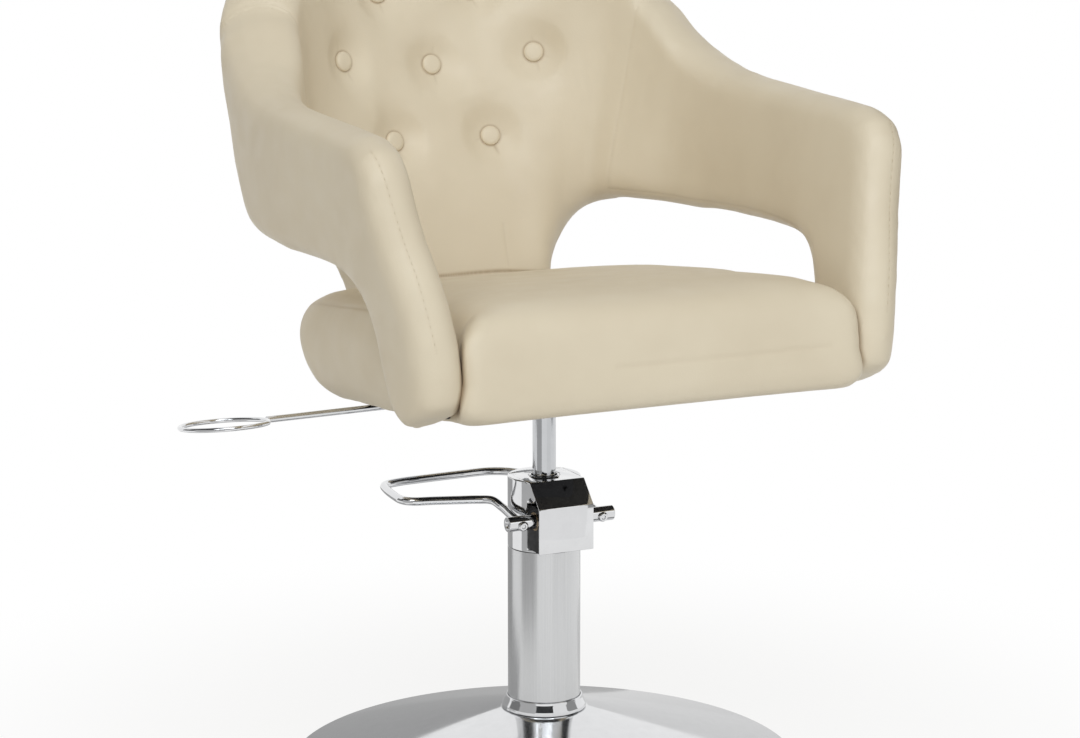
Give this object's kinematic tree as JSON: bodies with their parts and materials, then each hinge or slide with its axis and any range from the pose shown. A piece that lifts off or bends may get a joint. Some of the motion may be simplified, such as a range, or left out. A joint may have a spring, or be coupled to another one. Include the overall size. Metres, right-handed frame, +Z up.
{
  "type": "hairdressing chair",
  "caption": "Upholstered hairdressing chair: wrap-around button-tufted back and arms, crowned seat, swivel on a hydraulic lift with a foot pedal, dryer ring and round chromed base.",
  "frame": {"origin": "where the column's axis meets the floor, in the middle of the pad's underside", "axes": "+Z up along the column, the chair faces -Y, +X is the sitter's left"},
  "size_m": [0.6817, 0.6768, 0.9168],
  "materials": {
    "upholstery": "smooth cream artificial leather with a fine grain",
    "chrome": "mirror chrome plate",
    "satin_tube": "satin steel tube",
    "steel": "plain machined steel",
    "bush": "plain bearing bronze",
    "rubber": "matt black rubber",
    "board": "plywood painted matt black"
  },
  "bodies": {
    "base": {"floor_pad": "rubber", "base_weight": "steel", "base_dome": "chrome", "column_collar": "chrome", "pump_flange": "steel", "base_bolt_1": "steel", "base_bolt_2": "steel", "base_bolt_3": "steel", "base_bolt_4": "steel", "column_tube": "satin_tube", "column_cap": "chrome", "pump_cover": "chrome", "inner_cylinder": "steel", "guide_bush": "bush", "rod_seal": "rubber", "pump_block": "steel", "shaft_bush_left": "bush", "shaft_bush_right": "bush", "plunger_spring": "steel"},
    "pedal": {"pedal_shaft": "chrome", "pedal_bar": "chrome", "clamp_screw_left": "chrome", "clamp_screw_right": "chrome", "pump_cam": "steel"},
    "plunger": {"pump_plunger": "steel"},
    "piston": {"piston_rod": "chrome", "piston_head": "steel", "piston_seal": "rubber"},
    "seat": {"seat_hub": "steel", "seat_plate": "steel", "plate_bolt_1": "steel", "plate_bolt_2": "steel", "plate_bolt_3": "steel", "plate_bolt_4": "steel", "seat_board": "board", "seat_cushion": "upholstery", "backrest": "upholstery", "arm_left": "upholstery", "arm_right": "upholstery", "button_1": "upholstery", "button_2": "upholstery", "button_3": "upholstery", "button_4": "upholstery", "button_5": "upholstery", "button_6": "upholstery", "button_7": "upholstery", "arm_bolt_left": "steel", "arm_bolt_right": "steel", "back_bracket_left": "steel", "back_bracket_right": "steel", "back_screw_left": "steel", "back_screw_right": "steel", "holder_block": "steel"},
    "holder": {"holder_rod": "chrome", "holder_ring": "chrome"}
  },
  "joints": [
    {"name": "lift", "type": "slide", "parent": "base", "child": "piston", "axis": [0, 0, 1], "range_m": [-0.055, 0.09]},
    {"name": "swivel", "type": "hinge", "parent": "piston", "child": "seat", "pos_m": [0, 0, 0.4], "axis": [0, 0, 1], "continuous": true},
    {"name": "pedal_press", "type": "hinge", "parent": "base", "child": "pedal", "pos_m": [0, -0.038, 0.287], "axis": [-1, 0, 0], "range_deg": [0, 20], "stiffness_Nm_per_rad": 3, "springref_deg": -28.65},
    {"name": "plunger_stroke", "type": "slide", "parent": "base", "child": "plunger", "axis": [0, 0, -1], "range_m": [0, 0.0042], "deforming": ["plunger_spring"]},
    {"name": "holder_swing", "type": "hinge", "parent": "seat", "child": "holder", "pos_m": [-0.112, 0.10715, 0.40646], "axis": [0, 0.1253, 0.9921], "range_deg": [-40, 30]}
  ],
  "couplings": [
    {"joint": "plunger_stroke", "follows": "pedal_press", "m_per_rad": 0.0115}
  ]
}
